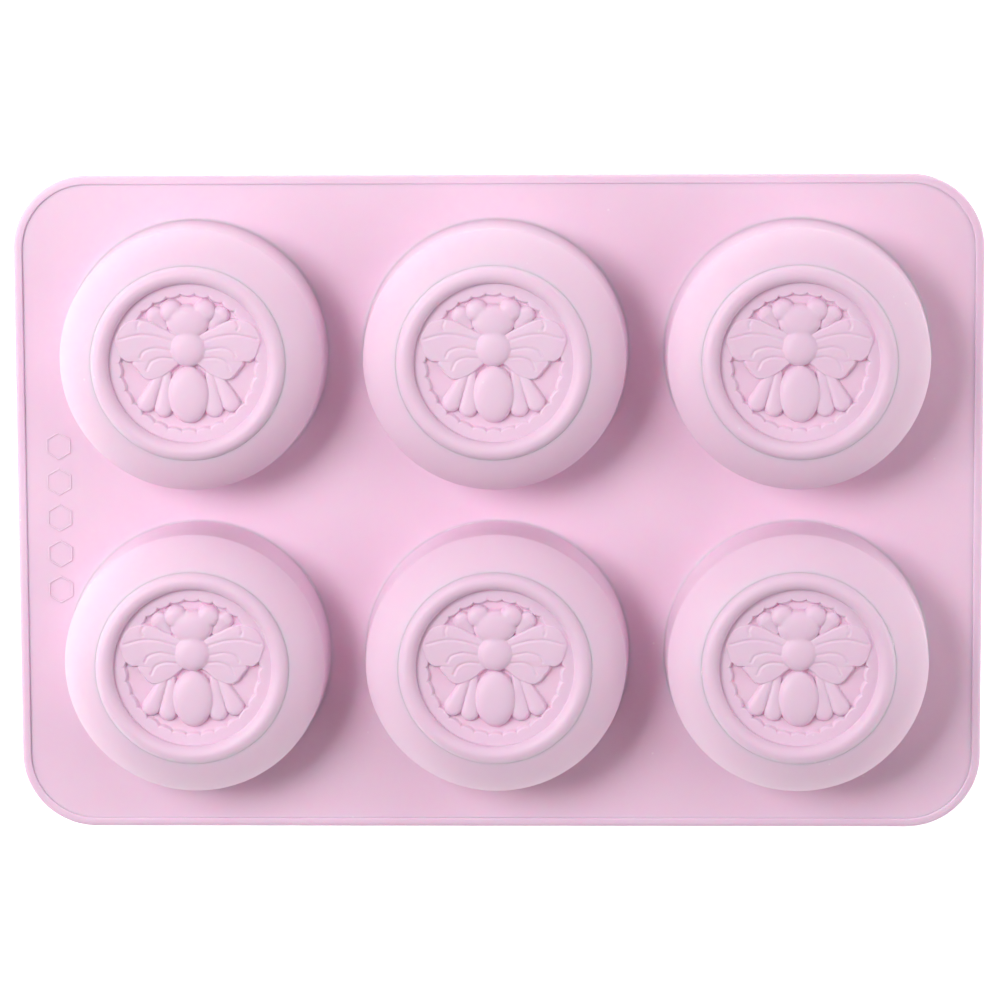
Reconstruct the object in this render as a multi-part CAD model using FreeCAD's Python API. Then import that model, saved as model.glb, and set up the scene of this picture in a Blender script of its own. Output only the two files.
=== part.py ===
import FreeCAD, Part
import math
import os

# A flexible silicone soap mould with six round cups in a flat flange. It stands upside down, with the
# open face on the table and the closed, decorated ends of the cups on top. Units are millimetres.
# Frame: origin at the centre of the open face, +X along the three cups of a row, +Y across the two
# rows, +Z up from the open face towards the closed ends.
#
# The real object is one moulding. It is divided here at its moulded feature lines, and the solids
# meet face to face, so that each cup's closed end can be pushed in by itself.

# Tray
TRAY_LENGTH = 260.0
TRAY_WIDTH = 177.5
CORNER_RADIUS = 20.0
SHEET_THICKNESS = 2.0
RIM_WIDTH = 2.4
RIM_HEIGHT = 2.7
RIM_OUTER_ROUND = 1.2
RIM_INNER_ROUND = 0.4

# Cup layout: the grid of cups sits slightly off the tray's middle
COLUMNS = 3
ROWS = 2
PITCH_X = 80.6
PITCH_Y = 81.6
GRID_SHIFT_X = -0.5
GRID_SHIFT_Y = 0.45

# Cup shell: a slightly tapered wall, then a bowed, sloping shoulder, and a thin skin all over
SKIN = 1.6
CUP_FOOT_RADIUS = 35.4
CUP_TAPER = 0.6
CUP_TOP_RADIUS = CUP_FOOT_RADIUS - CUP_TAPER
WALL_TOP_Z = 20.0
FOOT_FILLET = 1.0
MOUTH_ROUND = 0.6
SHOULDER_TOP_Z = 28.7
SHOULDER_EDGE_ANGLE = 32.0

# Raised ring: a round bead between the shoulder and the sunk field
RING_OUTER_RADIUS = 25.6
RING_CREST_RADIUS = 23.6
RING_CREST_Z = 30.1
RING_INNER_RADIUS = 21.1

# Sunk field with its scalloped border
FIELD_Z = 25.9
BORDER_HEIGHT = 1.4
SCALLOP_COUNT = 30
SCALLOP_CUSP_RADIUS = 18.2
SCALLOP_TIP_RADIUS = 17.5
FLOOR_UNDERSIDE_Z = FIELD_Z - SKIN
BORDER_TOP_Z = FIELD_Z + BORDER_HEIGHT

# Bee relief, from the field's centre: (x, y, half width, half length, height) of each rounded mass
HEAD = (0.0, 10.8, 5.2, 4.2, 2.9)
THORAX = (0.0, 3.9, 4.7, 5.0, 3.3)
ABDOMEN = (0.0, -8.1, 5.1, 7.6, 3.2)
EYE = (3.7, 13.8, 2.5, 3.4, 2.2)
FORELEG = (7.5, 11.8, 2.0, 3.2, 1.7)
HIND_LEG = (9.8, -8.1, 2.1, 5.2, 1.7)
INNER_LEG = (6.0, -9.1, 1.8, 5.4, 1.5)

# How far each long mass turns from the Y axis, in degrees
EYE_LEAN = -44.0
FORELEG_LEAN = -36.0
HIND_LEG_LEAN = 24.0
INNER_LEG_LEAN = 4.0

# Oval wells under the bee's body leave this much of its foot on the floor
WELL_INSET = 1.5

# Right-hand wings, each a closed smooth outline; the left-hand ones mirror them
WING_HEIGHT = 1.7
FORE_WING = (
    (3.5, 7.8), (8.6, 10.3), (13.7, 11.2), (17.4, 9.2),
    (19.0, 5.4), (17.8, 1.6), (14.2, 0.3), (8.0, 1.4),
)
HIND_WING = ((3.0, 0.6), (8.0, 2.4), (13.6, 0.8), (12.8, -1.9), (10.2, -4.2), (6.4, -3.1))

# Small raised marks on the flange: plain outlined hexagons in a column at the left
MARK_COUNT = 5
MARK_PITCH = 9.8
MARK_X = -118.7
MARK_CENTRE_Y = -3.8
MARK_RADIUS = 3.8
MARK_LINE = 0.5
MARK_HEIGHT = 0.25

UP = FreeCAD.Vector(0, 0, 1)
MARGIN = 1.0
NEARLY = 1e-6


def point(radius, height):
    """A point of a cup's half profile."""
    return FreeCAD.Vector(radius, 0, height)


def polar(radius, angle, height):
    """A point at an angle in degrees about the Z axis."""
    turn = math.radians(angle)
    return FreeCAD.Vector(radius * math.cos(turn), radius * math.sin(turn), height)


def line(start, end):
    return Part.LineSegment(start, end).toShape()


def arc(start, middle, end):
    return Part.Arc(start, middle, end).toShape()


def round_arc(centre, radius, start_angle, end_angle):
    """An arc of the half profile about a centre, by its angles in degrees above the radial direction."""
    def at(angle):
        turn = math.radians(angle)
        return centre + point(radius * math.cos(turn), radius * math.sin(turn))

    return arc(at(start_angle), at((start_angle + end_angle) / 2), at(end_angle))


def revolve(edges):
    """A solid turned from a closed half profile."""
    return Part.Face(Part.Wire(edges)).revolve(FreeCAD.Vector(), UP, 360)


def slab(outline, low, high):
    """A flat piece with a closed outline wire drawn at height 0."""
    face = Part.Face(outline)
    face.translate(UP * low)
    return face.extrude(UP * (high - low))


def rounded_rectangle(length, width, radius):
    """A centred rectangle with round corners, as a wire at height 0."""
    edges = []
    inner_x = length / 2 - radius
    inner_y = width / 2 - radius
    corners = (
        (inner_x, inner_y, 0),
        (-inner_x, inner_y, 90),
        (-inner_x, -inner_y, 180),
        (inner_x, -inner_y, 270),
    )
    for number, (x, y, angle) in enumerate(corners):
        centre = FreeCAD.Vector(x, y, 0)
        ends = [centre + polar(radius, angle + turn, 0) for turn in (0, 45, 90)]
        edges.append(arc(*ends))
        next_x, next_y, next_angle = corners[(number + 1) % len(corners)]
        next_start = FreeCAD.Vector(next_x, next_y, 0) + polar(radius, next_angle, 0)
        edges.append(line(ends[-1], next_start))
    return Part.Wire(edges)


def cup_centres():
    """The six cup centres, left to right, the far row first."""
    centres = []
    for row in range(ROWS):
        for column in range(COLUMNS):
            x = GRID_SHIFT_X + (column - (COLUMNS - 1) / 2) * PITCH_X
            y = GRID_SHIFT_Y + ((ROWS - 1) / 2 - row) * PITCH_Y
            centres.append(FreeCAD.Vector(x, y, 0))
    return centres


def rim_inner_outline():
    """Where the rim's band meets the sheet."""
    return rounded_rectangle(
        TRAY_LENGTH - 2 * RIM_WIDTH, TRAY_WIDTH - 2 * RIM_WIDTH, CORNER_RADIUS - RIM_WIDTH
    )


def flange_sheet():
    """The flat sheet inside the rim, with a round hole for each cup."""
    sheet = slab(rim_inner_outline(), 0, SHEET_THICKNESS)
    holes = [
        Part.makeCylinder(CUP_FOOT_RADIUS, SHEET_THICKNESS + 2 * MARGIN, centre - UP * MARGIN)
        for centre in cup_centres()
    ]
    return sheet.cut(holes)


def rim_bead():
    """The thicker band round the flange's edge, with its top edges rounded."""
    outer = slab(rounded_rectangle(TRAY_LENGTH, TRAY_WIDTH, CORNER_RADIUS), 0, RIM_HEIGHT)
    band = outer.cut(slab(rim_inner_outline(), -MARGIN, RIM_HEIGHT + MARGIN))
    band = band.makeFillet(RIM_OUTER_ROUND, top_edges(band, outermost=True))
    return band.makeFillet(RIM_INNER_ROUND, top_edges(band, outermost=False))


def top_edges(band, outermost):
    """The rim's upper edges, on its outer or its inner outline."""
    edges = []
    for edge in band.Edges:
        box = edge.BoundBox
        if box.ZMin < RIM_HEIGHT - NEARLY:
            continue
        middle = edge.valueAt((edge.FirstParameter + edge.LastParameter) / 2)
        if inside_inner_outline(middle) != outermost:
            edges.append(edge)
    return edges


def inside_inner_outline(place):
    """Whether a point lies nearer the sheet than the middle of the rim's band."""
    half_length = TRAY_LENGTH / 2 - CORNER_RADIUS
    half_width = TRAY_WIDTH / 2 - CORNER_RADIUS
    beyond_x = max(abs(place.x) - half_length, 0)
    beyond_y = max(abs(place.y) - half_width, 0)
    return math.hypot(beyond_x, beyond_y) < CORNER_RADIUS - RIM_WIDTH / 2


def embossed_marks():
    """A column of outlined hexagons that stand a little above the flange."""
    marks = []
    for number in range(MARK_COUNT):
        y = MARK_CENTRE_Y + ((MARK_COUNT - 1) / 2 - number) * MARK_PITCH
        centre = FreeCAD.Vector(MARK_X, y, 0)
        outer = hexagon(centre, MARK_RADIUS)
        inner = hexagon(centre, MARK_RADIUS - MARK_LINE)
        top = SHEET_THICKNESS + MARK_HEIGHT
        mark = slab(outer, SHEET_THICKNESS, top).cut(slab(inner, SHEET_THICKNESS - MARGIN, top + MARGIN))
        marks.append(mark)
    return Part.makeCompound(marks)


def hexagon(centre, radius):
    return Part.makePolygon([centre + polar(radius, 30 + 60 * corner, 0) for corner in range(7)])


def cup_wall():
    """The tapered wall from the open mouth to the shoulder, with a small fillet at the flange."""
    foot_z = SHEET_THICKNESS + FOOT_FILLET
    sheet_edge = point(CUP_FOOT_RADIUS, SHEET_THICKNESS)
    foot_centre = point(CUP_FOOT_RADIUS + FOOT_FILLET, foot_z)
    mouth_radius = CUP_FOOT_RADIUS - SKIN
    mouth_centre = point(mouth_radius + MOUTH_ROUND, MOUTH_ROUND)
    return revolve([
        line(point(CUP_FOOT_RADIUS, 0), sheet_edge),
        line(sheet_edge, point(CUP_FOOT_RADIUS + FOOT_FILLET, SHEET_THICKNESS)),
        round_arc(foot_centre, FOOT_FILLET, 270, 180),
        line(point(CUP_FOOT_RADIUS, foot_z), point(CUP_TOP_RADIUS, WALL_TOP_Z)),
        line(point(CUP_TOP_RADIUS, WALL_TOP_Z), point(CUP_TOP_RADIUS - SKIN, WALL_TOP_Z)),
        line(point(CUP_TOP_RADIUS - SKIN, WALL_TOP_Z), point(mouth_radius, MOUTH_ROUND)),
        round_arc(mouth_centre, MOUTH_ROUND, 180, 270),
        line(point(mouth_radius + MOUTH_ROUND, 0), point(CUP_FOOT_RADIUS, 0)),
    ])


def shoulder_slope():
    """Centre and radius of the shoulder's bowed slope, from its round edge to the ring's foot."""
    turn = math.radians(SHOULDER_EDGE_ANGLE)
    normal = point(math.cos(turn), math.sin(turn))
    start = point(CUP_TOP_RADIUS - SKIN, WALL_TOP_Z) + normal * SKIN
    chord = point(RING_OUTER_RADIUS, SHOULDER_TOP_Z) - start
    radius = -chord.Length**2 / (2 * chord.dot(normal))
    return start - normal * radius, radius


def shoulder_underside():
    """Angle on the slope's arc, and height, of the skin's underside at the ring's outer foot."""
    centre, radius = shoulder_slope()
    inner_radius = radius - SKIN
    angle = math.acos((RING_OUTER_RADIUS - centre.x) / inner_radius)
    return math.degrees(angle), centre.z + inner_radius * math.sin(angle)


def cup_shoulder():
    """The sloping shoulder, which flexes when the closed end is pushed in."""
    inner_corner = point(CUP_TOP_RADIUS - SKIN, WALL_TOP_Z)
    centre, radius = shoulder_slope()
    foot = point(RING_OUTER_RADIUS, SHOULDER_TOP_Z)
    foot_angle = math.degrees(math.atan2(foot.z - centre.z, foot.x - centre.x))
    underside_angle, underside = shoulder_underside()
    return revolve([
        round_arc(inner_corner, SKIN, 0, SHOULDER_EDGE_ANGLE),
        round_arc(centre, radius, SHOULDER_EDGE_ANGLE, foot_angle),
        line(foot, point(RING_OUTER_RADIUS, underside)),
        round_arc(centre, radius - SKIN, underside_angle, SHOULDER_EDGE_ANGLE),
        line(inner_corner, point(CUP_TOP_RADIUS, WALL_TOP_Z)),
    ])


def cup_ring():
    """The raised ring, hollow underneath, with its inner side running down to the floor's underside."""
    bead = arc(
        point(RING_OUTER_RADIUS, SHOULDER_TOP_Z),
        point(RING_CREST_RADIUS, RING_CREST_Z),
        point(RING_INNER_RADIUS, BORDER_TOP_Z),
    )
    centre = bead.Curve.Center
    groove_round = bead.Curve.Radius - SKIN
    groove_outer_radius = centre.x + groove_round
    groove_inner_radius = centre.x - groove_round
    _, underside = shoulder_underside()
    return revolve([
        bead,
        line(point(RING_INNER_RADIUS, BORDER_TOP_Z), point(RING_INNER_RADIUS, FLOOR_UNDERSIDE_Z)),
        line(point(RING_INNER_RADIUS, FLOOR_UNDERSIDE_Z), point(groove_inner_radius, FLOOR_UNDERSIDE_Z)),
        line(point(groove_inner_radius, FLOOR_UNDERSIDE_Z), point(groove_inner_radius, centre.z)),
        round_arc(centre, groove_round, 180, 0),
        line(point(groove_outer_radius, centre.z), point(groove_outer_radius, underside)),
        line(point(groove_outer_radius, underside), point(RING_OUTER_RADIUS, underside)),
        line(point(RING_OUTER_RADIUS, underside), point(RING_OUTER_RADIUS, SHOULDER_TOP_Z)),
    ])


def scallop_border(wings):
    """The band inside the ring whose inner edge is a row of round scallops; the wings lie across it."""
    edges = []
    step = 360 / SCALLOP_COUNT
    for number in range(SCALLOP_COUNT):
        angle = number * step
        edges.append(arc(
            polar(SCALLOP_CUSP_RADIUS, angle, 0),
            polar(SCALLOP_TIP_RADIUS, angle + step / 2, 0),
            polar(SCALLOP_CUSP_RADIUS, angle + step, 0),
        ))
    band = Part.makeCylinder(RING_INNER_RADIUS, BORDER_HEIGHT, UP * FIELD_Z)
    hollow = slab(Part.Wire(edges), FIELD_Z - MARGIN, BORDER_TOP_Z + MARGIN)
    return band.cut(hollow).cut(wings)


def ellipse_arc(tip, side):
    """Half an ellipse about the origin, from one tip through the side point to the opposite tip."""
    origin = FreeCAD.Vector()
    if tip.Length >= side.Length:
        return Part.ArcOfEllipse(Part.Ellipse(tip, side, origin), 0, math.pi).toShape()
    return Part.ArcOfEllipse(Part.Ellipse(side, tip, origin), -math.pi / 2, math.pi / 2).toShape()


def mound(mass, lean=0):
    """A rounded oval mass, turned about an axis along Y that lies below the field.

    What stands above the field has the mass's half width, half length and height.
    """
    x, y, half_width, half_length, height = mass
    turned_radius = (half_width**2 + height**2) / (2 * height)
    tip = FreeCAD.Vector(0, half_length * turned_radius / half_width, 0)
    half_outline = Part.Wire([ellipse_arc(tip, UP * -turned_radius), line(-tip, tip)])
    body = Part.Face(half_outline).revolve(FreeCAD.Vector(), tip, 360)
    body.rotate(FreeCAD.Vector(), UP, lean)
    body.translate(FreeCAD.Vector(x, y, FIELD_Z + height - turned_radius))
    return body


def mirrored(shape):
    """The same shape on the left-hand side."""
    return shape.mirror(FreeCAD.Vector(), FreeCAD.Vector(1, 0, 0))


def above_field(shape):
    """What stands above the field's surface."""
    return shape.common(Part.makeCylinder(RING_INNER_RADIUS, RING_CREST_Z, UP * FIELD_Z))


def single(shape):
    """The one solid that a boolean operation leaves."""
    return shape.Solids[0] if len(shape.Solids) == 1 else shape


def bee_masses():
    """Head, thorax, abdomen and the two eyes as one body."""
    eye = mound(EYE, EYE_LEAN)
    return mound(HEAD).fuse([mound(THORAX), mound(ABDOMEN), eye, mirrored(eye)])


def bee_wells():
    """Oval holes through the floor that open the hollow under the bee's body to the inside of the cup."""
    wells = []
    for x, y, half_width, half_length, _ in (HEAD, THORAX, ABDOMEN):
        tip = FreeCAD.Vector(0, half_length - WELL_INSET, 0)
        side = FreeCAD.Vector(half_width - WELL_INSET, 0, 0)
        outline = Part.Wire([ellipse_arc(tip, side), ellipse_arc(-tip, -side)])
        well = slab(outline, FLOOR_UNDERSIDE_Z - MARGIN, FIELD_Z + MARGIN)
        well.translate(FreeCAD.Vector(x, y, 0))
        wells.append(well)
    return wells


def bee_body():
    """The domed body of the bee, which stands on the floor over its wells."""
    return single(above_field(bee_masses()))


def wing_outline(points):
    """A closed smooth curve through a wing's points."""
    curve = Part.BSplineCurve()
    curve.interpolate([FreeCAD.Vector(x, y, 0) for x, y in points], PeriodicFlag=True)
    return Part.Wire(curve.toShape())


def right_wings():
    """The fore wing and the hind wing of the right-hand side as one flat plate."""
    top = FIELD_Z + WING_HEIGHT
    fore = slab(wing_outline(FORE_WING), FIELD_Z, top)
    hind = slab(wing_outline(HIND_WING), FIELD_Z, top)
    return above_field(fore.fuse(hind))


def bee_wings():
    """Both pairs of wings, cut where the bee's body covers them."""
    right = single(right_wings().cut(bee_masses()))
    return Part.makeCompound([right, mirrored(right)])


def bee_legs(wings):
    """Six rounded legs round the body, cut where the body or a wing covers them."""
    hind_legs = mound(HIND_LEG, HIND_LEG_LEAN).fuse(mound(INNER_LEG, INNER_LEG_LEAN))
    right = above_field(mound(FORELEG, FORELEG_LEAN).fuse(hind_legs)).cut([bee_masses(), wings])
    return Part.makeCompound(right.Solids + mirrored(right).Solids)


def cup_floor():
    """The thin floor inside the ring, open under the bee's body."""
    disc = Part.makeCylinder(RING_INNER_RADIUS, SKIN, UP * FLOOR_UNDERSIDE_Z)
    return single(disc.cut(bee_wells()))


def cup_pieces():
    """Each piece of a cup that stands on the Z axis, by name."""
    wings = bee_wings()
    legs = bee_legs(wings)
    border = scallop_border(wings).cut(legs).cut(bee_masses())
    return {
        "wall": cup_wall(),
        "shoulder": cup_shoulder(),
        "ring": cup_ring(),
        "floor": cup_floor(),
        "scallops": border,
        "bee_body": bee_body(),
        "bee_wings": wings,
        "bee_legs": legs,
    }


def main():
    os.makedirs("parts", exist_ok=True)
    nodes = {
        "flange_sheet": flange_sheet(),
        "rim_bead": rim_bead(),
        "embossed_marks": embossed_marks(),
    }
    pieces = cup_pieces()
    for number, centre in enumerate(cup_centres(), start=1):
        for name, shape in pieces.items():
            nodes[f"cup_{number}_{name}"] = shape.translated(centre)
    for name, shape in nodes.items():
        if not shape.isValid():
            raise ValueError(f"{name} isn't a valid shape")
        shape.exportStep(f"parts/{name}.step")
        print(name, "solids", len(shape.Solids), "volume", round(shape.Volume, 2))


main()
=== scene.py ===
import math

import bpy
import numpy as np
from mathutils import Matrix, Vector
from mathutils.geometry import delaunay_2d_cdt


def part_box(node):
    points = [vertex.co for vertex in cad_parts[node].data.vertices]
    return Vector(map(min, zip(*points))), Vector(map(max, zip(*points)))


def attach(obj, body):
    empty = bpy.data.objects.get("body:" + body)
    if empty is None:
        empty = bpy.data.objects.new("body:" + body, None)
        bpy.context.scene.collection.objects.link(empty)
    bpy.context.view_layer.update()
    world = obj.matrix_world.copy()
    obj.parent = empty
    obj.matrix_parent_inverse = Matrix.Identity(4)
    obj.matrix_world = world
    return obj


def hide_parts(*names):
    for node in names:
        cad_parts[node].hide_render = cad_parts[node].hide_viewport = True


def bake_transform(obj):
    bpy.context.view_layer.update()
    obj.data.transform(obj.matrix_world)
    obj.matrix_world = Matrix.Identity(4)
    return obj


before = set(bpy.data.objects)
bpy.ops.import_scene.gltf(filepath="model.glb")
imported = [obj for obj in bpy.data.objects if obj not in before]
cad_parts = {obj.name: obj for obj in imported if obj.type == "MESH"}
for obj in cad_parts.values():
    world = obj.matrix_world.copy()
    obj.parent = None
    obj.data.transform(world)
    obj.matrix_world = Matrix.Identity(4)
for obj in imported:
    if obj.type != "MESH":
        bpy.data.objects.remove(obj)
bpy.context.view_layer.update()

# A pale pink silicone soap mould, standing upside down on a white table. The imported model gives the
# places and outer sizes. This script gives the skin: a sheet, a rim, raised marks, and for each cup a
# side and a closed end with its relief. Lengths are in millimetres and angles in degrees.

MM = 0.001
CUPS = range(1, 7)


def size_of(node):
    """Lowest and highest corner of a CAD node, in millimetres."""
    low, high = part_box(node)
    return np.array(low) / MM, np.array(high) / MM


# Sizes that the CAD model settles
SHEET_LOW, SHEET_HIGH = size_of("flange_sheet")
RIM_HIGH = size_of("rim_bead")[1]
WALL_HIGH = size_of("cup_1_wall")[1]
SHOULDER_LOW, SHOULDER_HIGH = size_of("cup_1_shoulder")
RING_LOW, RING_HIGH = size_of("cup_1_ring")
FLOOR_LOW, FLOOR_HIGH = size_of("cup_1_floor")
BORDER_TOP = size_of("cup_1_scallops")[1][2]
SHEET_TOP = SHEET_HIGH[2]
RIM_TOP = RIM_HIGH[2]
RIM_WIDTH = RIM_HIGH[0] - SHEET_HIGH[0]
WALL_TOP = WALL_HIGH[2]
WALL_TOP_RADIUS = (SHOULDER_HIGH[0] - SHOULDER_LOW[0]) / 2
SHOULDER_TOP = SHOULDER_HIGH[2]
RING_OUTER_RADIUS = (RING_HIGH[0] - RING_LOW[0]) / 2
RING_TOP = RING_HIGH[2]
FIELD_RADIUS = (FLOOR_HIGH[0] - FLOOR_LOW[0]) / 2
FIELD_TOP = FLOOR_HIGH[2]
FIELD_UNDERSIDE = FLOOR_LOW[2]
SKIN = FIELD_TOP - FIELD_UNDERSIDE

# Sizes of the moulded shape that the boxes don't give
CORNER_RADIUS = 20.0
FOOT_FILLET = 1.0
FOOT_CHAMFER = 0.25
WALL_TAPER = 0.6
WALL_FOOT_RADIUS = WALL_TOP_RADIUS + WALL_TAPER
MOUTH_ROUND = 0.6
SHOULDER_EDGE_ANGLE = 32.0
RING_CREST_RADIUS = 23.6
RING_CREASE = 0.5
RIM_LOWER_ROUND = 0.5
RIM_OUTER_ROUND = 1.2
RIM_INNER_ROUND = 0.4
MARK_COUNT = 5
MARK_LINE = 0.5
MARK_ROOT = 0.5

# The sheet's slight sag: two crossed waves, and the distance from cups and rim over which it grows
LONG_WAVE = 0.10
LONG_WAVE_SPACING = (31.0, 27.0)
LONG_WAVE_SHIFT = (0.6, -0.4)
SHORT_WAVE = 0.06
SHORT_WAVE_SPACING = (13.0, 17.0)
SAG_FREE = 1.0
SAG_FULL = 9.0

# Neighbouring pieces end in blunt faces with a hairline between them. A cup's two pieces meet in the
# outer crease of its ring, and its side meets the sheet halfway round the fillet at its foot.
GAP = 0.02
SEAM_RADIUS = 25.8
FILLET_SPLIT = FOOT_FILLET * (1.0 - math.sqrt(0.5))

# Fineness of the meshes
SHARP_ANGLE = 60.0
SAME_PLACE = 1e-6
FIELD_CELLS = 216
OUTER_BEAD_ROWS = 18
SIDE_SEGMENTS = 384
HOLE_SEGMENTS = 192
CORNER_STEPS = 28
RIM_STEP = 2.0
SHEET_STEP = 3.0
FILLET_LOOPS = (0.45, 0.65, FOOT_FILLET)

# Nodes of the CAD model that a closed end stands for
END_PARTS = ("ring", "floor", "scallops", "bee_body", "bee_wings", "bee_legs")

# Colours
PINK_LIGHT = (0.865, 0.65, 0.795, 1.0)
PINK_DEEP = (0.85, 0.625, 0.775, 1.0)
DUST = (0.98, 0.90, 0.94, 1.0)
WHITE = (1.0, 1.0, 1.0, 1.0)
TABLE_WHITE = (0.99, 0.99, 0.99, 1.0)

# Stage: every light is a square that faces the origin, given as its name, place, size and power in watts
LIGHTS = (
    ("key", (-620.0, 330.0, 1000.0), 520.0, 8.3),
    ("high_key", (-800.0, 300.0, 1500.0), 300.0, 2.1),
    ("left", (-1000.0, 150.0, 500.0), 600.0, 2.8),
    ("far", (100.0, 1000.0, 800.0), 800.0, 1.8),
    ("right", (1000.0, 0.0, 600.0), 900.0, 4.6),
)
WORLD_STRENGTH = 0.16
TABLE_REACH = 6000.0
TABLE_GLOW = 0.8
CAMERA_AIM = Vector((0.24, 0.67, 0.0))
CAMERA_DISTANCE = 1374.6
CAMERA_LEAN_RIGHT = 1.70
CAMERA_LEAN_FAR = 8.41
CAMERA_ROLL = -0.285
CAMERA_LENS = 183.4
CAMERA_SENSOR = 36.0
CAMERA_NEAR = 50.0
CAMERA_FAR = 50000.0


def middle_of(node):
    """Middle of a CAD node, seen from above, in millimetres."""
    low, high = size_of(node)
    return (low[:2] + high[:2]) / 2


CUP_CENTRES = {number: middle_of(f"cup_{number}_floor") for number in CUPS}


def smoothstep(low, high, value):
    """0 below low, 1 above high, and a smooth rise between them."""
    t = np.clip((value - low) / (high - low), 0.0, 1.0)
    return t * t * (3.0 - 2.0 * t)


def smooth_max(a, b, width):
    """The higher of two heights, with the valley between them rounded over the given width."""
    h = np.clip(0.5 + 0.5 * (a - b) / width, 0.0, 1.0)
    return b + (a - b) * h + width * h * (1.0 - h)


# ---- Mesh helpers -------------------------------------------------------------------------------

def mesh_object(name, points, faces):
    """A smooth-shaded mesh object from points in millimetres."""
    mesh = bpy.data.meshes.new(name)
    mesh.from_pydata((np.asarray(points) * MM).tolist(), [], faces)
    mesh.validate()
    mesh.shade_smooth()
    mesh.set_sharp_from_angle(angle=math.radians(SHARP_ANGLE))
    mesh.update()
    piece = bpy.data.objects.new(name, mesh)
    bpy.context.scene.collection.objects.link(piece)
    return piece


def arc_points(centre, radius, start, end, count):
    """Points of an arc in the half profile, by its angles in degrees above the radial direction."""
    turns = np.radians(np.linspace(start, end, count))
    return [(centre[0] + radius * math.cos(a), centre[1] + radius * math.sin(a)) for a in turns]


def line_points(start, end, count):
    """Points of a straight run in the half profile, both ends included."""
    steps = np.linspace(0.0, 1.0, count)
    return [(start[0] + (end[0] - start[0]) * t, start[1] + (end[1] - start[1]) * t) for t in steps]


def joined(*runs):
    """Runs of a profile one after another, with each shared end kept once."""
    profile = []
    for run in runs:
        for place in run:
            if not profile or math.dist(profile[-1], place) > SAME_PLACE:
                profile.append(place)
    return profile


def tube_faces(rows):
    """Faces between each closed row of points and the next, and from the last back to the first."""
    faces = []
    for a, b in zip(rows, rows[1:] + rows[:1]):
        for j in range(len(a)):
            k = (j + 1) % len(a)
            faces.append([a[j], a[k], b[k], b[j]])
    return faces


class Shell:
    """Gathers the rows of a turned shape, and the discs that close it if it has any."""

    def __init__(self, centre):
        self.centre = np.array([centre[0], centre[1], 0.0])
        self.points = []
        self.faces = []

    def add(self, points):
        """Adds points and returns their numbers."""
        start = len(self.points)
        self.points.extend(points)
        return list(range(start, len(self.points)))

    def ring(self, radius, height, segments):
        """One row of points round the axis, from the direction that the disc's corner has."""
        turns = np.arange(segments) * 2.0 * math.pi / segments - math.pi / 4.0
        return self.add([(radius * math.cos(a), radius * math.sin(a), height) for a in turns])

    def bridge(self, upper, lower):
        """Faces between two rows. The upper may have a whole multiple of the lower's points."""
        ratio = len(upper) // len(lower)
        count = len(lower)
        for j in range(count):
            following = (j + 1) % count
            top = [upper[(ratio * j + k) % len(upper)] for k in range(ratio + 1)]
            self.faces.append([lower[j], lower[following]] + top[::-1])

    def bridge_finer(self, upper, lower):
        """Faces between two rows where the lower has a whole multiple of the upper's points."""
        ratio = len(lower) // len(upper)
        count = len(upper)
        for j in range(count):
            following = (j + 1) % count
            bottom = [lower[(ratio * j + k) % len(lower)] for k in range(ratio + 1)]
            self.faces.append(bottom + [upper[following], upper[j]])

    def revolve(self, profile, segments, above=None):
        """Rows for each point of a profile, joined to the row above if there is one."""
        row = above
        for radius, height in profile:
            fresh = self.ring(radius, height, segments)
            if row is not None:
                if len(fresh) > len(row):
                    self.bridge_finer(row, fresh)
                else:
                    self.bridge(row, fresh)
            row = fresh
        return row

    def disc(self, radius, cells, height_of, face_up):
        """A round patch of even cells whose heights come from a function; returns its edge row."""
        steps = np.linspace(-1.0, 1.0, cells + 1)
        u, v = np.meshgrid(steps, steps)
        x, y = round_from_square(u, v)
        x = x * radius
        y = y * radius
        z = height_of(x, y)
        index = self.add(np.stack([x, y, z], axis=-1).reshape(-1, 3).tolist())
        grid = np.array(index).reshape(cells + 1, cells + 1)
        corners = [grid[:-1, :-1], grid[:-1, 1:], grid[1:, 1:], grid[1:, :-1]]
        quads = np.stack(corners, axis=-1).reshape(-1, 4)
        if not face_up:
            quads = quads[:, ::-1]
        self.faces.extend(quads.tolist())
        # anticlockwise from the corner at -45 degrees
        right = grid[:-1, -1]
        top = grid[-1, :0:-1]
        left = grid[:0:-1, 0]
        bottom = grid[0, :-1]
        return [int(i) for i in np.concatenate([right, top, left, bottom])]

    def object(self, name):
        """The finished mesh object, at its cup's place."""
        return mesh_object(name, np.array(self.points) + self.centre, self.faces)


def round_from_square(u, v):
    """Moves a point of the square from -1 to 1 into the unit circle, keeping cells about even in area."""
    wide = np.abs(u) >= np.abs(v)
    reach = np.where(wide, u, v)
    other = np.where(wide, v, u)
    safe = np.where(reach == 0.0, 1.0, reach)
    turn = math.pi / 4.0 * other / safe
    along = reach * np.cos(turn)
    across = reach * np.sin(turn)
    return np.where(wide, along, across), np.where(wide, across, along)


# ---- The relief in a cup's closed end ------------------------------------------------------------

SCALLOP_COUNT = 30
SCALLOP_CUSP_RADIUS = 18.2
SCALLOP_TIP_RADIUS = 17.65
SCALLOP_BAND_RADIUS = 18.8
SCALLOP_NOTCH = 0.12
SCALLOP_GROOVE = 0.45
SCALLOP_FADE = 0.7
EDGE = 0.30
FOOT_DROP = 4.0

# (x, y, half width, half length, height, squareness) of each rounded mass of the body
HEAD = (0.0, 10.9, 5.7, 4.6, 2.9, 2.8)
THORAX = (0.0, 3.8, 4.8, 4.9, 3.2, 2.8)
ABDOMEN = (0.0, -8.4, 5.4, 7.6, 3.1, 3.2)

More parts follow.
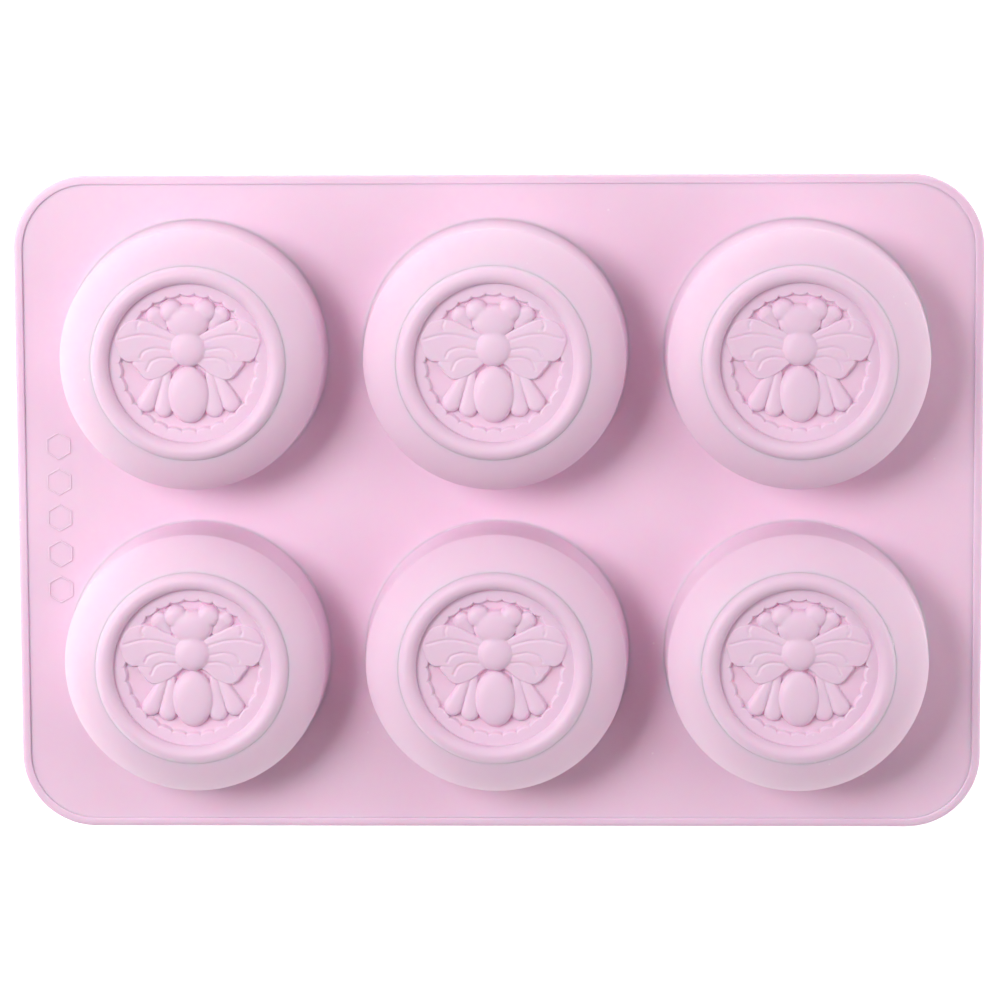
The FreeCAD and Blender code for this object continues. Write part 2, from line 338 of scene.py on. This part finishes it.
# Right-hand lobes, each from a narrow end to a wide end: (x, y, radius) of both, then the height
EYE = ((2.2, 12.0, 2.4), (4.3, 13.7, 3.1), 2.6)
FORELEG = ((6.0, 9.6, 0.9), (8.6, 12.6, 2.4), 1.8)
HIND_LEG = ((7.5, -3.0, 1.1), (11.2, -10.7, 2.45), 1.9)
INNER_LEG = ((5.6, -3.0, 1.1), (6.7, -12.0, 2.5), 1.75)
LOBE_SQUARENESS = 2.8

# Widths over which the masses run into one another
EYE_BLEND = 0.5
THORAX_BLEND = 0.7
ABDOMEN_BLEND = 0.3
LEG_BLEND = 0.3
BODY_BLEND = 0.35

WING_HEIGHT = 1.7
HIND_WING_STEP = 0.15
WING_CROWN = 0.14
CROWN_WIDTH = 2.2
FORE_WING = (
    (2.4, 6.6), (7.5, 9.7), (10.7, 11.2), (13.8, 11.6), (17.2, 10.3), (19.4, 6.6),
    (18.9, 4.0), (17.9, 1.6), (16.2, 0.3), (14.4, 0.3), (8.0, 0.0), (3.0, 1.0),
)
HIND_WING = (
    (1.6, 0.6), (3.4, -1.0), (6.2, -3.2), (9.8, -4.5), (11.6, -4.0), (13.0, -2.4), (14.5, 0.4),
    (9.0, 2.6), (4.0, 3.2),
)
VEINS = (
    ((4.4, 6.0), (8.6, 7.2), (13.2, 7.5), (18.2, 6.3)),
    ((12.9, 11.0), (13.4, 9.8), (13.1, 8.8)),
    ((4.8, 3.4), (8.6, 4.0), (11.6, 3.2), (12.6, 1.6)),
    ((4.2, 1.2), (7.2, 1.4), (9.8, 0.4), (11.0, -1.8)),
)
VEIN_WIDTH = 0.34
VEIN_DEPTH = 0.22
VEIN_MARGIN = 0.6
CURVE_STEPS = 14

# Hollows in the cavity's end, under the body and under the wings
BODY_INSET = 0.9
WING_HOLLOW = 0.7
WING_HOLLOW_START = 0.5
WING_HOLLOW_FULL = 1.5


def dome(reach, width, height, squareness):
    """Height of a rounded mass; reach is 0 at its middle and 1 at its foot, and outside is below zero."""
    inside = np.clip(1.0 - reach**squareness, 0.0, 1.0)
    outside = np.clip(reach - 1.0, 0.0, None) * width
    return height * inside ** (1.0 / squareness) - FOOT_DROP * outside


def mound(x, y, mass, inset=0.0):
    """Height above the field of an oval mass of the body."""
    centre_x, centre_y, half_width, half_length, height, squareness = mass
    reach = np.hypot((x - centre_x) / (half_width - inset), (y - centre_y) / (half_length - inset))
    return dome(reach, half_width, height - inset, squareness)


def nearest_on_step(x, y, start, end):
    """How far along a straight step its nearest place is, from 0 to 1, and the distance to it."""
    (ax, ay), (bx, by) = start, end
    dx, dy = bx - ax, by - ay
    t = np.clip(((x - ax) * dx + (y - ay) * dy) / (dx * dx + dy * dy), 0.0, 1.0)
    return t, np.hypot(x - ax - t * dx, y - ay - t * dy)


def lobe(x, y, shape):
    """Height above the field of a lobe that widens from one end to the other."""
    (ax, ay, narrow), (bx, by, wide), height = shape
    t, distance = nearest_on_step(x, y, (ax, ay), (bx, by))
    width = narrow + (wide - narrow) * t
    return dome(distance / width, width, height * (width / wide) ** 0.5, LOBE_SQUARENESS)


def smooth_outline(points, closed):
    """A Catmull-Rom curve through a few given points."""
    places = np.array(points, float)
    count = len(places)
    curve = []
    for i in range(count if closed else count - 1):
        if closed:
            a, b, c, d = (places[(i + k) % count] for k in (-1, 0, 1, 2))
        else:
            a, b, c, d = (places[min(max(i + k, 0), count - 1)] for k in (-1, 0, 1, 2))
        for t in np.arange(CURVE_STEPS) / CURVE_STEPS:
            curve.append(0.5 * (2 * b + (c - a) * t + (2 * a - 5 * b + 4 * c - d) * t**2
                                + (3 * b - a - 3 * c + d) * t**3))
    if not closed:
        curve.append(places[-1])
    return np.array(curve)


def distance_to_path(x, y, path, closed):
    """Distance from each point to a path of short straight steps."""
    ends = np.roll(path, -1, axis=0) if closed else path[1:]
    starts = path if closed else path[:-1]
    nearest = np.full(x.shape, np.inf)
    for start, end in zip(starts, ends):
        _, distance = nearest_on_step(x, y, start, end)
        nearest = np.minimum(nearest, distance)
    return nearest


def inside_path(x, y, path):
    """Whether each point lies within a closed path."""
    inside = np.zeros(x.shape, bool)
    for (ax, ay), (bx, by) in zip(path, np.roll(path, -1, axis=0)):
        if ay == by:
            continue
        crosses = (ay > y) != (by > y)
        inside ^= crosses & (x < (bx - ax) * (y - ay) / (by - ay) + ax)
    return inside


def depth_inside(x, y, outline):
    """Distance to a smooth closed outline, above zero inside it."""
    path = smooth_outline(outline, closed=True)
    distance = distance_to_path(x, y, path, closed=True)
    return np.where(inside_path(x, y, path), distance, -distance)


def plate(distance, height):
    """A slightly crowned plate with steep edges, from the distance inside its outline."""
    rise = smoothstep(-EDGE, EDGE, distance)
    crown = WING_CROWN * smoothstep(0.0, CROWN_WIDTH, distance)
    return height * rise + crown


def scallop_height(x, y):
    """Height above the field of the border, whose inner edge is a row of round beads."""
    radius = np.hypot(x, y)
    step = 2.0 * math.pi / SCALLOP_COUNT
    turn = np.arctan2(y, x)
    off_centre = (turn / step - np.floor(turn / step) - 0.5) * step
    cusp_x = SCALLOP_CUSP_RADIUS * math.cos(step / 2)
    circle = (SCALLOP_CUSP_RADIUS**2 - SCALLOP_TIP_RADIUS**2) / (2 * (cusp_x - SCALLOP_TIP_RADIUS))
    from_bead = np.hypot(radius * np.cos(off_centre) - circle, radius * np.sin(off_centre))
    inside_bead = circle - SCALLOP_TIP_RADIUS - from_bead
    distance = np.maximum(inside_bead, radius - SCALLOP_BAND_RADIUS)
    ledge = (BORDER_TOP - FIELD_TOP) * smoothstep(-EDGE, EDGE, distance)
    groove = smoothstep(SCALLOP_GROOVE, 0.0, np.abs(off_centre) * -radius + radius * step / 2)
    fade_end = SCALLOP_BAND_RADIUS + SCALLOP_FADE
    groove = groove * (1.0 - smoothstep(SCALLOP_CUSP_RADIUS, fade_end, radius))
    return ledge - SCALLOP_NOTCH * groove


def wing_height(x, y):
    """Height above the field of the wings with their veins; x is counted to the right side only."""
    fore = depth_inside(x, y, FORE_WING)
    hind = depth_inside(x, y, HIND_WING)
    veins = np.zeros(x.shape)
    for vein in VEINS:
        reach = distance_to_path(x, y, smooth_outline(vein, closed=False), closed=False)
        veins = np.maximum(veins, VEIN_DEPTH * np.exp(-(reach / VEIN_WIDTH) ** 2))
    wings = np.maximum(plate(fore, WING_HEIGHT), plate(hind, WING_HEIGHT - HIND_WING_STEP))
    on_wing = smoothstep(0.0, VEIN_MARGIN, np.maximum(fore, hind))
    return wings - veins * on_wing


def relief_height(x, y):
    """Height of the closed end inside the ring, in millimetres above the open face."""
    side = np.abs(x)
    height = scallop_height(x, y)
    height = np.maximum(height, wing_height(side, y))
    legs = np.maximum(lobe(side, y, FORELEG), lobe(side, y, HIND_LEG))
    legs = np.maximum(legs, lobe(side, y, INNER_LEG))
    height = smooth_max(height, legs, LEG_BLEND)
    body = smooth_max(mound(x, y, HEAD), lobe(side, y, EYE), EYE_BLEND)
    body = smooth_max(body, mound(x, y, THORAX), THORAX_BLEND)
    body = smooth_max(body, mound(x, y, ABDOMEN), ABDOMEN_BLEND)
    height = smooth_max(height, body, BODY_BLEND)
    return FIELD_TOP + np.maximum(height, 0.0)


def underside_height(x, y):
    """Height of the cavity's end: hollow under the bee's body and wings, flat elsewhere."""
    side = np.abs(x)
    body = np.maximum(mound(x, y, HEAD, BODY_INSET), mound(x, y, THORAX, BODY_INSET))
    body = np.maximum(body, mound(x, y, ABDOMEN, BODY_INSET))
    wings = np.maximum(depth_inside(side, y, FORE_WING), depth_inside(side, y, HIND_WING))
    wings = WING_HOLLOW * smoothstep(WING_HOLLOW_START, WING_HOLLOW_FULL, wings)
    return FIELD_UNDERSIDE + np.clip(np.maximum(body, wings), 0.0, None)


# ---- Cup pieces -----------------------------------------------------------------------------------

def ring_circle():
    """Centre and radius of the bead's round section, through its outer foot, crest and inner foot."""
    (ax, az), (bx, bz), (cx, cz) = (
        (RING_OUTER_RADIUS, SHOULDER_TOP),
        (RING_CREST_RADIUS, RING_TOP),
        (FIELD_RADIUS, BORDER_TOP),
    )
    system = np.array([[2 * (bx - ax), 2 * (bz - az)], [2 * (cx - ax), 2 * (cz - az)]])
    squares = np.array([bx**2 + bz**2 - ax**2 - az**2, cx**2 + cz**2 - ax**2 - az**2])
    centre = np.linalg.solve(system, squares)
    return centre, math.dist(centre, (ax, az))


def angle_from(centre, place):
    """Direction from a centre to a place in the half profile, in degrees from 0 to 360."""
    return math.degrees(math.atan2(place[1] - centre[1], place[0] - centre[0])) % 360.0


def shoulder_slope():
    """Centre and radius of the shoulder's bowed slope, from its round edge to the ring's foot."""
    turn = math.radians(SHOULDER_EDGE_ANGLE)
    normal = np.array([math.cos(turn), math.sin(turn)])
    start = np.array([WALL_TOP_RADIUS - SKIN, WALL_TOP]) + normal * SKIN
    chord = np.array([RING_OUTER_RADIUS, SHOULDER_TOP]) - start
    radius = -(chord @ chord) / (2.0 * chord @ normal)
    return start - normal * radius, radius


def slope_height(reach, depth):
    """Height of the slope at a distance from the cup's axis, at a depth below its outer surface."""
    centre, radius = shoulder_slope()
    return centre[1] + math.sqrt((radius - depth) ** 2 - (reach - centre[0]) ** 2)


def slope_angle(reach, depth):
    """Angle on the slope's arc of the same place."""
    centre, _ = shoulder_slope()
    return angle_from(centre, (reach, slope_height(reach, depth)))


def ring_side_height(reach):
    """Height outside the ring's crest, where the bead runs into the slope in a soft crease."""
    bead_centre, bead_radius = ring_circle()
    drop = max(bead_radius**2 - (reach - bead_centre[0]) ** 2, 0.0)
    bead = bead_centre[1] + math.sqrt(drop)
    return float(smooth_max(bead, slope_height(reach, 0.0), RING_CREASE))


def closed_end(number, centre):
    """The decorated end of a cup: ring, sunk field, scallops and bee, in one skin."""
    bead_centre, bead_radius = ring_circle()
    groove_round = bead_radius - SKIN
    groove_outer = bead_centre[0] + groove_round
    groove_inner = bead_centre[0] - groove_round
    inner_angle = angle_from(bead_centre, (FIELD_RADIUS, BORDER_TOP))
    shell = Shell(centre)
    edge = shell.disc(FIELD_RADIUS, FIELD_CELLS, relief_height, face_up=True)
    inner_side = arc_points(bead_centre, bead_radius, inner_angle, 90.0, count=11)[1:]
    outer_reaches = np.linspace(bead_centre[0], SEAM_RADIUS, OUTER_BEAD_ROWS)[1:]
    outer_side = [(reach, ring_side_height(reach)) for reach in outer_reaches]
    # A disc's edge has four points for each cell across. The underside has half as many cells across.
    row = shell.revolve(inner_side + outer_side, 4 * FIELD_CELLS, above=edge)
    underside = slope_height(RING_OUTER_RADIUS, SKIN)
    under = joined(
        [(SEAM_RADIUS, slope_height(SEAM_RADIUS, SKIN)), (RING_OUTER_RADIUS, underside)],
        [(RING_OUTER_RADIUS, underside), (groove_outer, underside)],
        arc_points(bead_centre, groove_round, 0.0, 180.0, count=10),
        line_points((groove_inner, bead_centre[1]), (groove_inner, FIELD_UNDERSIDE), count=4),
        line_points((groove_inner, FIELD_UNDERSIDE), (FIELD_RADIUS, FIELD_UNDERSIDE), count=3),
    )
    row = shell.revolve(under[:-1], 2 * FIELD_CELLS, above=row)
    floor_edge = shell.disc(FIELD_RADIUS, FIELD_CELLS // 2, underside_height, face_up=False)
    shell.bridge(row, floor_edge)
    return shell.object(f"cup_{number}_closed_end")


def cup_side(number, centre):
    """The wall and the shoulder of a cup; on the real mould these flex when the closed end is pushed in.
    """
    slope_centre, slope_radius = shoulder_slope()
    inner_corner = (WALL_TOP_RADIUS - SKIN, WALL_TOP)
    mouth = WALL_FOOT_RADIUS - SKIN
    fillet_centre = (WALL_FOOT_RADIUS + FOOT_FILLET, SHEET_TOP + FOOT_FILLET)
    inmost = SEAM_RADIUS + GAP
    upper_start = slope_angle(inmost, 0.0)
    lower_end = slope_angle(inmost, SKIN)
    upper = arc_points(slope_centre, slope_radius, upper_start, SHOULDER_EDGE_ANGLE, count=28)
    lower = arc_points(slope_centre, slope_radius - SKIN, SHOULDER_EDGE_ANGLE, lower_end, count=16)
    profile = joined(
        upper,
        arc_points(inner_corner, SKIN, SHOULDER_EDGE_ANGLE, 0.0, count=8),
        line_points((WALL_TOP_RADIUS, WALL_TOP), (WALL_FOOT_RADIUS, fillet_centre[1]), count=12),
        arc_points(fillet_centre, FOOT_FILLET, 180.0, 225.0, count=5),
        [(WALL_FOOT_RADIUS, FOOT_CHAMFER)],
        line_points((WALL_FOOT_RADIUS - FOOT_CHAMFER, 0.0), (mouth + MOUTH_ROUND, 0.0), count=2),
        arc_points((mouth + MOUTH_ROUND, MOUTH_ROUND), MOUTH_ROUND, 270.0, 180.0, count=5),
        line_points((mouth, MOUTH_ROUND), inner_corner, count=10),
        lower,
    )
    shell = Shell(centre)
    first = shell.revolve(profile[:1], SIDE_SEGMENTS)
    last = shell.revolve(profile[1:], SIDE_SEGMENTS, above=first)
    shell.bridge(last, first)
    return shell.object(f"cup_{number}_side")


# ---- Flange -----------------------------------------------------------------------------------------

def rounded_outline(half_length, half_width, radius, side_step):
    """Points anticlockwise round a rectangle with round corners, evenly spaced along its sides."""
    places = []
    corners = ((1, 1, 0), (-1, 1, 90), (-1, -1, 180), (1, -1, 270))
    for number, (sx, sy, start) in enumerate(corners):
        cx = sx * (half_length - radius)
        cy = sy * (half_width - radius)
        for angle in np.linspace(start, start + 90, CORNER_STEPS + 1):
            turn = math.radians(angle)
            places.append((cx + radius * math.cos(turn), cy + radius * math.sin(turn)))
        nx, ny, _ = corners[(number + 1) % 4]
        following = math.radians(start + 90)
        target = (
            nx * (half_length - radius) + radius * math.cos(following),
            ny * (half_width - radius) + radius * math.sin(following),
        )
        count = max(int(math.dist(places[-1], target) / side_step), 1)
        last = places[-1]
        places.extend(line_points(last, target, count=count + 1)[1:-1])
    return np.array(places)


def rim_bead():
    """The raised band round the flange's edge: one section carried round the outline."""
    lower = RIM_LOWER_ROUND
    outer = RIM_OUTER_ROUND
    inner = RIM_INNER_ROUND
    section = joined(
        line_points((RIM_WIDTH, 0.0), (lower, 0.0), count=3),
        arc_points((lower, lower), lower, 270.0, 180.0, count=5),
        arc_points((outer, RIM_TOP - outer), outer, 180.0, 90.0, count=9),
        arc_points((RIM_WIDTH - inner, RIM_TOP - inner), inner, 90.0, 0.0, count=6),
        line_points((RIM_WIDTH, RIM_TOP - inner), (RIM_WIDTH, 0.0), count=4),
    )[:-1]
    rows = []
    points = []
    for inset, height in section:
        half_length = RIM_HIGH[0] - inset
        half_width = RIM_HIGH[1] - inset
        outline = rounded_outline(half_length, half_width, CORNER_RADIUS - inset, RIM_STEP)
        if rows:
            outline = resample(outline, len(rows[0]))
        start = len(points)
        points.extend([(x, y, height) for x, y in outline])
        rows.append(list(range(start, len(points))))
    return mesh_object("tray_rim", points, tube_faces(rows))


def resample(outline, count):
    """The same outline with its points spread so that there are as many as asked."""
    if len(outline) == count:
        return outline
    closed = np.vstack([outline, outline[:1]])
    travelled = np.concatenate([[0.0], np.cumsum(np.hypot(*np.diff(closed, axis=0).T))])
    wanted = np.linspace(0.0, travelled[-1], count + 1)[:-1]
    return np.stack([np.interp(wanted, travelled, closed[:, i]) for i in (0, 1)], axis=-1)


def sheet_height(x, y):
    """The sheet's top: not quite flat between the cups and the rim, and rising in a fillet at each cup."""
    across = np.sin(x / LONG_WAVE_SPACING[0] + LONG_WAVE_SHIFT[0])
    along = np.cos(y / LONG_WAVE_SPACING[1] + LONG_WAVE_SHIFT[1])
    ripple = np.sin(x / SHORT_WAVE_SPACING[0] - y / SHORT_WAVE_SPACING[1])
    sag = LONG_WAVE * across * along + SHORT_WAVE * ripple
    room = SHEET_HIGH[0] - np.abs(x)
    room = np.minimum(room, SHEET_HIGH[1] - np.abs(y))
    to_cup = np.full(x.shape, np.inf)
    for centre in CUP_CENTRES.values():
        to_cup = np.minimum(to_cup, np.hypot(x - centre[0], y - centre[1]) - WALL_FOOT_RADIUS)
    room = np.minimum(room, to_cup)
    near_cup = to_cup < FOOT_FILLET
    beside = np.clip(FOOT_FILLET - room, 0.0, FOOT_FILLET)
    on_fillet = FOOT_FILLET - np.sqrt(FOOT_FILLET**2 - beside**2)
    return SHEET_TOP + sag * smoothstep(SAG_FREE, SAG_FULL, room) + np.where(near_cup, on_fillet, 0.0)


def tray_sheet():
    """The flat sheet inside the rim, with a hole for each cup that starts halfway round its fillet."""
    corner = CORNER_RADIUS - RIM_WIDTH - GAP
    outline = rounded_outline(SHEET_HIGH[0] - GAP, SHEET_HIGH[1] - GAP, corner, SHEET_STEP)
    loops = [outline]
    hole_radius = WALL_FOOT_RADIUS + FILLET_SPLIT + GAP
    turns = np.arange(HOLE_SEGMENTS) * 2.0 * math.pi / HOLE_SEGMENTS
    around = np.stack([np.cos(turns), np.sin(turns)], axis=-1)
    for centre in CUP_CENTRES.values():
        loops.append(centre + hole_radius * around)
    for centre in CUP_CENTRES.values():
        for reach in FILLET_LOOPS:
            loops.append(centre + (WALL_FOOT_RADIUS + reach) * around)
    loops.append(inner_points())
    places = np.vstack(loops)
    edges = []
    start = 0
    for loop in loops[:1 + len(CUPS)]:
        count = len(loop)
        edges.extend((start + j, start + (j + 1) % count) for j in range(count))
        start += count
    coordinates = [Vector((float(x), float(y))) for x, y in places]
    flat, _, triangles, *_ = delaunay_2d_cdt(coordinates, edges, [], 0, SAME_PLACE)
    flat = np.array([tuple(v) for v in flat])
    kept = []
    for triangle in triangles:
        middle = flat[list(triangle)].mean(axis=0)
        if all(math.dist(middle, centre) > hole_radius - GAP for centre in CUP_CENTRES.values()):
            kept.append(list(triangle))
    top = np.column_stack([flat, sheet_height(flat[:, 0], flat[:, 1])])
    bottom = np.column_stack([drawn_in(flat, hole_radius), np.full(len(flat), 0.0)])
    count = len(flat)
    faces = kept + [[i + count for i in reversed(t)] for t in kept]
    faces.extend(side_faces(kept, count))
    return mesh_object("tray_sheet", np.vstack([top, bottom]), faces)


def drawn_in(places, hole_radius):
    """The sheet's outline at its underside, where each hole closes on the foot of the cup's wall."""
    result = places.copy()
    for centre in CUP_CENTRES.values():
        away = places - centre
        reach = np.hypot(away[:, 0], away[:, 1])
        edge = reach < hole_radius + GAP / 2
        result[edge] = centre + away[edge] * ((WALL_FOOT_RADIUS + GAP) / reach[edge])[:, None]
    return result


def inner_points():
    """Even points over the sheet, clear of its outline and its holes, so that it can sag."""
    step = SHEET_STEP
    xs = np.arange(SHEET_LOW[0] + step, SHEET_HIGH[0] - step / 2, step)
    ys = np.arange(SHEET_LOW[1] + step, SHEET_HIGH[1] - step / 2, step)
    x, y = (part.ravel() for part in np.meshgrid(xs, ys))
    corner = CORNER_RADIUS - RIM_WIDTH
    past_x = np.clip(np.abs(x) - (SHEET_HIGH[0] - corner), 0.0, None)
    past_y = np.clip(np.abs(y) - (SHEET_HIGH[1] - corner), 0.0, None)
    clear = np.hypot(past_x, past_y) < corner - step / 2
    for centre in CUP_CENTRES.values():
        clear &= np.hypot(x - centre[0], y - centre[1]) > WALL_FOOT_RADIUS + FOOT_FILLET + step / 3
    return np.stack([x[clear], y[clear]], axis=-1)


def side_faces(triangles, count):
    """Upright faces along every edge of the top that only one triangle uses."""
    used = {(t[k], t[(k + 1) % 3]) for t in triangles for k in range(3)}
    return [[b, a, a + count, b + count] for a, b in sorted(used) if (b, a) not in used]


def raised_marks():
    """The column of plain outlined hexagons, each with its root sunk into the sheet."""
    low, high = size_of("embossed_marks")
    radius = (high[0] - low[0]) / math.sqrt(3.0)
    pitch = (high[1] - low[1] - 2.0 * radius) / (MARK_COUNT - 1)
    centre_x = (low[0] + high[0]) / 2
    points = []
    faces = []
    bevel = MARK_LINE / 4
    section = (
        (radius, MARK_ROOT),
        (radius, high[2] - bevel),
        (radius - bevel, high[2]),
        (radius - MARK_LINE + bevel, high[2]),
        (radius - MARK_LINE, high[2] - bevel),
        (radius - MARK_LINE, MARK_ROOT),
    )
    for number in range(MARK_COUNT):
        centre_y = low[1] + radius + number * pitch
        rows = []
        for reach, height in section:
            start = len(points)
            for turn in np.radians(np.arange(30, 390, 60)):
                x = centre_x + reach * math.cos(turn)
                y = centre_y + reach * math.sin(turn)
                points.append((x, y, height))
            rows.append(list(range(start, len(points))))
        faces.extend(tube_faces(rows))
    piece = mesh_object("raised_marks", points, faces)
    piece.data.shade_flat()
    return piece


# ---- Material ---------------------------------------------------------------------------------------

def silicone(name, light_sinks_in):
    """Pale pink silicone: light sinks in and comes out pinker, under a satin surface with fine grain."""
    material = bpy.data.materials.new(name)
    material.use_nodes = True
    nodes = material.node_tree.nodes
    links = material.node_tree.links
    shader = nodes["Principled BSDF"]
    shader.inputs["Subsurface Weight"].default_value = light_sinks_in
    shader.inputs["Subsurface Radius"].default_value = (1.0, 0.5, 0.7)
    shader.inputs["Subsurface Scale"].default_value = 0.0012
    shader.inputs["Subsurface Anisotropy"].default_value = 0.3
    shader.inputs["IOR"].default_value = 1.42
    shader.inputs["Specular IOR Level"].default_value = 0.55
    place = nodes.new("ShaderNodeTexCoord")

    def noise(scale, detail, roughness=0.5):
        node = nodes.new("ShaderNodeTexNoise")
        node.inputs["Scale"].default_value = scale
        node.inputs["Detail"].default_value = detail
        node.inputs["Roughness"].default_value = roughness
        links.new(place.outputs["Object"], node.inputs["Vector"])
        return node

    def ramp(source, low, high, low_value, high_value):
        node = nodes.new("ShaderNodeMapRange")
        node.inputs["From Min"].default_value = low
        node.inputs["From Max"].default_value = high
        node.inputs["To Min"].default_value = low_value
        node.inputs["To Max"].default_value = high_value
        links.new(source, node.inputs["Value"])
        return node.outputs["Result"]

    cloud = noise(scale=22.0, detail=3.0)
    tint = nodes.new("ShaderNodeMix")
    tint.data_type = "RGBA"
    tint.inputs["A"].default_value = PINK_DEEP
    tint.inputs["B"].default_value = PINK_LIGHT
    cloudy = ramp(cloud.outputs["Fac"], low=0.35, high=0.65, low_value=0.0, high_value=1.0)
    links.new(cloudy, tint.inputs["Factor"])
    dust_cells = nodes.new("ShaderNodeTexVoronoi")
    dust_cells.inputs["Scale"].default_value = 260.0
    dust_cells.inputs["Randomness"].default_value = 1.0
    links.new(place.outputs["Object"], dust_cells.inputs["Vector"])
    dust_patch = noise(scale=90.0, detail=2.0)
    dust_near = ramp(dust_cells.outputs["Distance"], low=0.05, high=0.11, low_value=1.0, high_value=0.0)
    dust_where = ramp(dust_patch.outputs["Fac"], low=0.62, high=0.68, low_value=0.0, high_value=0.5)
    dust = nodes.new("ShaderNodeMath")
    dust.operation = "MULTIPLY"
    links.new(dust_near, dust.inputs[0])
    links.new(dust_where, dust.inputs[1])
    dusty = nodes.new("ShaderNodeMix")
    dusty.data_type = "RGBA"
    dusty.inputs["B"].default_value = DUST
    links.new(tint.outputs["Result"], dusty.inputs["A"])
    links.new(dust.outputs["Value"], dusty.inputs["Factor"])
    links.new(dusty.outputs["Result"], shader.inputs["Base Color"])
    haze = noise(scale=140.0, detail=4.0, roughness=0.6)
    satin = ramp(haze.outputs["Fac"], low=0.3, high=0.7, low_value=0.40, high_value=0.54)
    links.new(satin, shader.inputs["Roughness"])
    grain = noise(scale=2600.0, detail=2.0, roughness=0.6)
    bump = nodes.new("ShaderNodeBump")
    bump.inputs["Strength"].default_value = 0.12
    bump.inputs["Distance"].default_value = 0.00008
    links.new(grain.outputs["Fac"], bump.inputs["Height"])
    links.new(bump.outputs["Normal"], shader.inputs["Normal"])
    return material


def table_top():
    """A plain matt white table that gives off some light, which keeps the background white."""
    material = bpy.data.materials.new("white_table")
    material.use_nodes = True
    shader = material.node_tree.nodes["Principled BSDF"]
    shader.inputs["Base Color"].default_value = TABLE_WHITE
    shader.inputs["Roughness"].default_value = 0.9
    shader.inputs["Emission Color"].default_value = WHITE
    shader.inputs["Emission Strength"].default_value = TABLE_GLOW
    return material


# ---- Assembly ---------------------------------------------------------------------------------------

def build_mould():
    """All visible pieces: the tray's three, and two for each cup."""
    material = silicone("pink_silicone", light_sinks_in=0.72)
    thin = silicone("pink_silicone_thin", light_sinks_in=0.0)
    parts = (
        (tray_sheet(), "flange_sheet", material),
        (rim_bead(), "rim_bead", material),
        (raised_marks(), "embossed_marks", thin),
    )
    for piece, node, skin in parts:
        finish_piece(piece, skin)
        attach(piece, "tray")
        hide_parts(node)
    for number, centre in CUP_CENTRES.items():
        body = f"closed_end_{number}"
        end = closed_end(number, centre)
        finish_piece(end, material)
        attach(end, body)
        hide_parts(*(f"cup_{number}_{part}" for part in END_PARTS))
        side = cup_side(number, centre)
        finish_piece(side, material)
        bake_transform(side)
        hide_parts(f"cup_{number}_wall", f"cup_{number}_shoulder")


def finish_piece(piece, material):
    """Gives a piece its material."""
    piece.data.materials.append(material)


def table():
    """The table that the mould stands on, a hairline below it."""
    corners = ((-1, -1), (1, -1), (1, 1), (-1, 1))
    points = [(x * TABLE_REACH, y * TABLE_REACH, -GAP) for x, y in corners]
    floor = mesh_object("table", points, [[0, 1, 2, 3]])
    floor.data.materials.append(table_top())


def area_light(name, place, size, power):
    """A soft square light that faces the origin, with its place and size in millimetres."""
    data = bpy.data.lights.new(name, "AREA")
    data.shape = "SQUARE"
    data.size = size * MM
    data.energy = power
    light = bpy.data.objects.new(name, data)
    light.location = Vector(place) * MM
    light.rotation_euler = (-Vector(place)).to_track_quat("-Z", "Y").to_euler()
    bpy.context.scene.collection.objects.link(light)


def lights():
    """The square lights round the mould, and a dim even white world."""
    for name, place, size, power in LIGHTS:
        area_light(name, place, size, power)
    world = bpy.data.worlds.new("studio")
    world.use_nodes = True
    background = world.node_tree.nodes["Background"]
    background.inputs["Color"].default_value = WHITE
    background.inputs["Strength"].default_value = WORLD_STRENGTH
    bpy.context.scene.world = world


def camera():
    """Nearly straight above, leaning a little to the far side and the right, with a long lens."""
    back = Vector((
        math.tan(math.radians(CAMERA_LEAN_RIGHT)),
        math.tan(math.radians(CAMERA_LEAN_FAR)),
        1.0,
    )).normalized()
    data = bpy.data.cameras.new("camera")
    data.lens = CAMERA_LENS
    data.sensor_width = CAMERA_SENSOR
    data.clip_start = CAMERA_NEAR * MM
    data.clip_end = CAMERA_FAR * MM
    viewer = bpy.data.objects.new("camera", data)
    right = Vector((0.0, 1.0, 0.0)).cross(back).normalized()
    upright = Matrix((right, back.cross(right), back)).transposed()
    turn = upright @ Matrix.Rotation(math.radians(CAMERA_ROLL), 3, "Z")
    place = (CAMERA_AIM + back * CAMERA_DISTANCE) * MM
    viewer.matrix_world = Matrix.Translation(place) @ turn.to_4x4()
    bpy.context.scene.collection.objects.link(viewer)
    bpy.context.scene.camera = viewer


bpy.context.scene.view_settings.view_transform = "Standard"
camera()
table()
lights()
build_mould()
